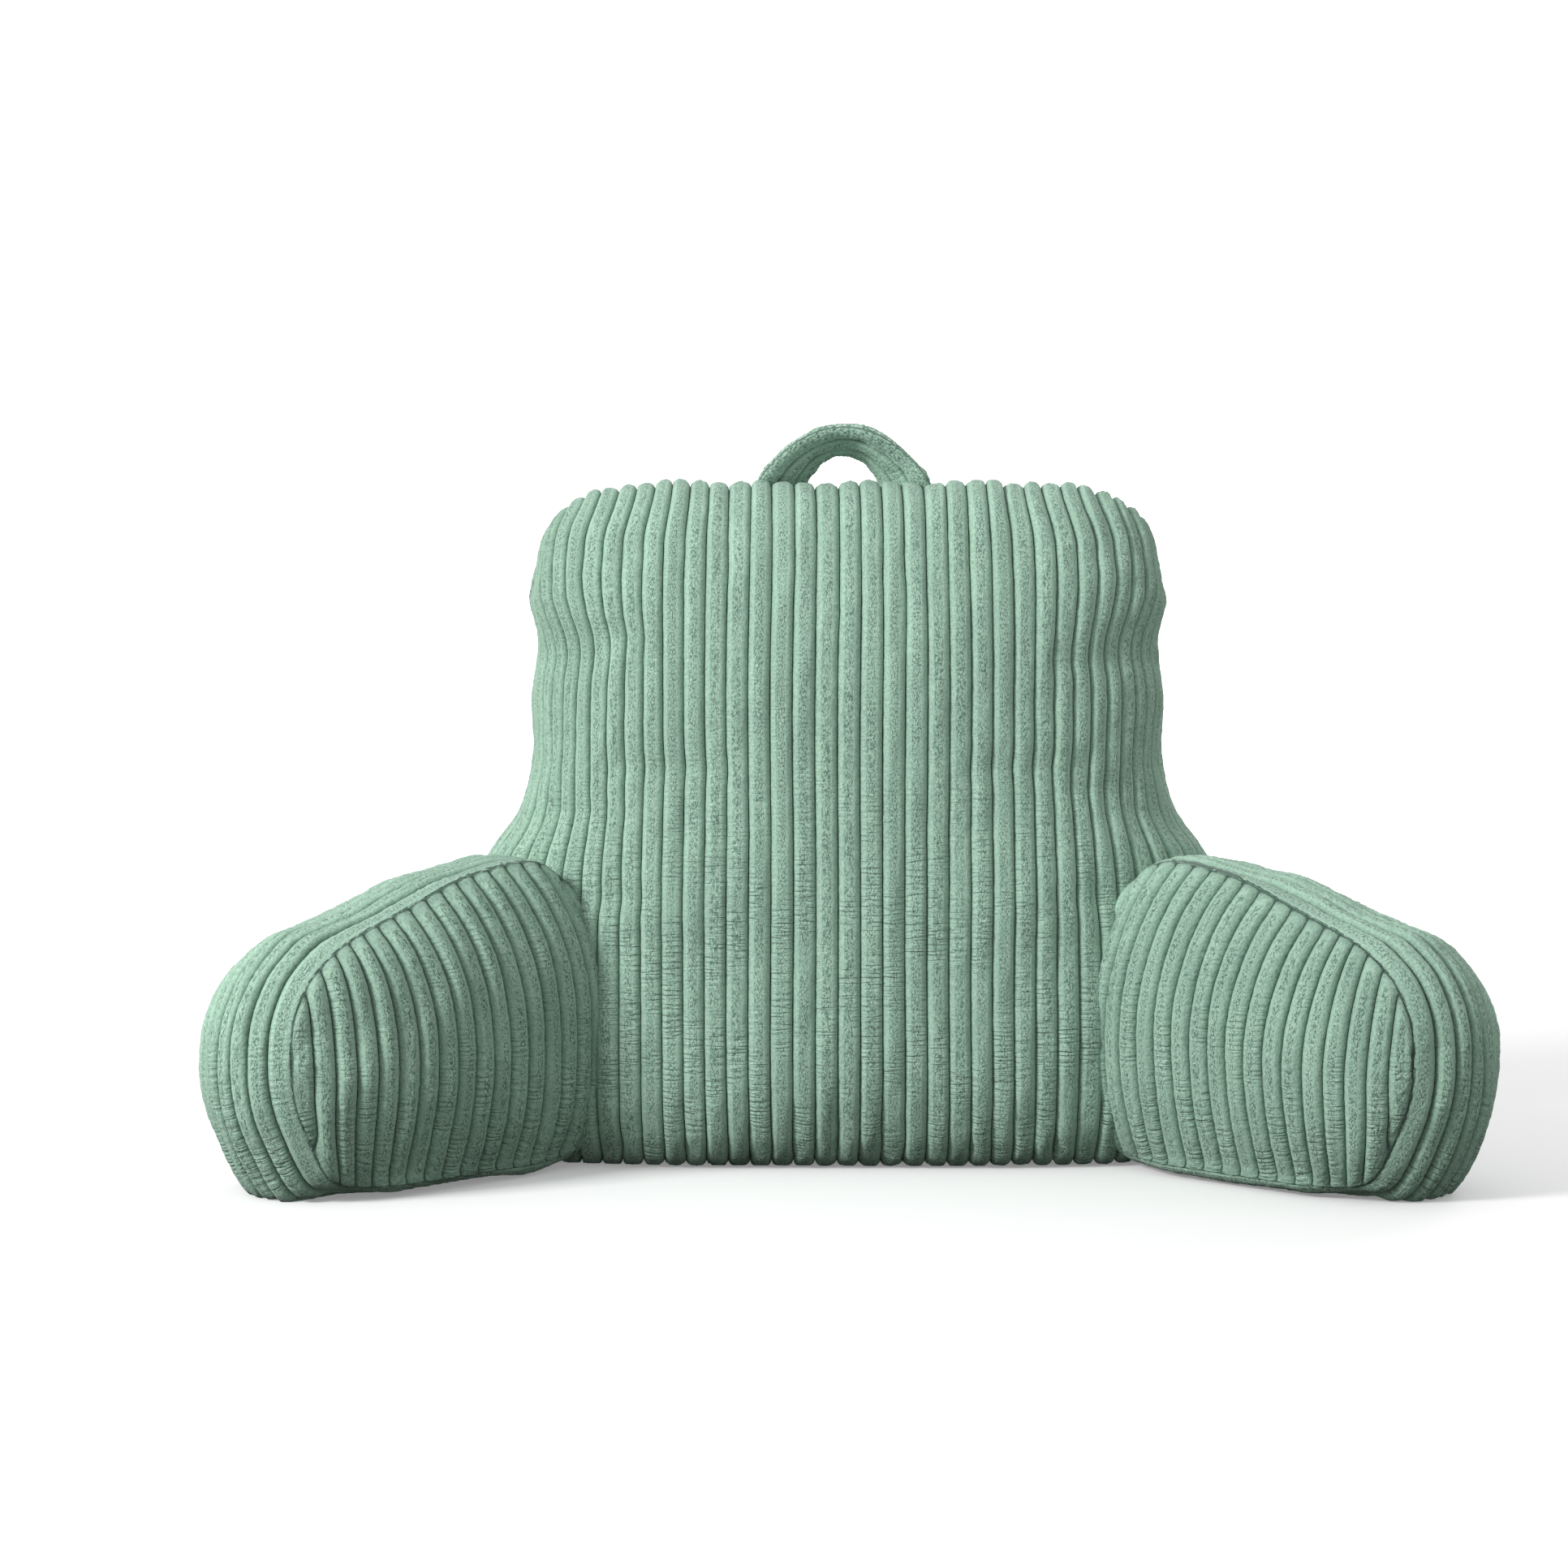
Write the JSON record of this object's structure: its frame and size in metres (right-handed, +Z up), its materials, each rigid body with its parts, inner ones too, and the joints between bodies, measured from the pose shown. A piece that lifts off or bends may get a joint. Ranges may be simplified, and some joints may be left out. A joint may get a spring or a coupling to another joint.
{
  "type": "backrest pillow",
  "caption": "Ribbed plush backrest pillow: a wedge back cushion with two splayed D-shaped arms and a loop carry handle, free-standing on a bed or floor.",
  "frame": {"origin": "on the floor under the middle of the pillow's box", "axes": "+X to the pillow's right as seen from the front, along its width; -Y to the front, where a person leans back; +Z up"},
  "size_m": [0.8408, 0.281, 0.4963],
  "materials": {
    "back_plush": "matt sage-green short-pile plush in wide round ribs",
    "boxing_plush": "matt sage-green short-pile plush in wide round ribs that run round the arm",
    "panel_plush": "matt sage-green short-pile plush in upright round ribs",
    "handle_plush": "matt sage-green short-pile plush, three ribs wide"
  },
  "bodies": {
    "root": {"back_cushion": "back_plush", "arm_left_boxing": "boxing_plush", "arm_right_boxing": "boxing_plush", "arm_left_inner_panel": "panel_plush", "arm_right_inner_panel": "panel_plush", "arm_left_outer_panel": "panel_plush", "arm_right_outer_panel": "panel_plush", "carry_handle": "handle_plush"}
  },
  "joints": []
}
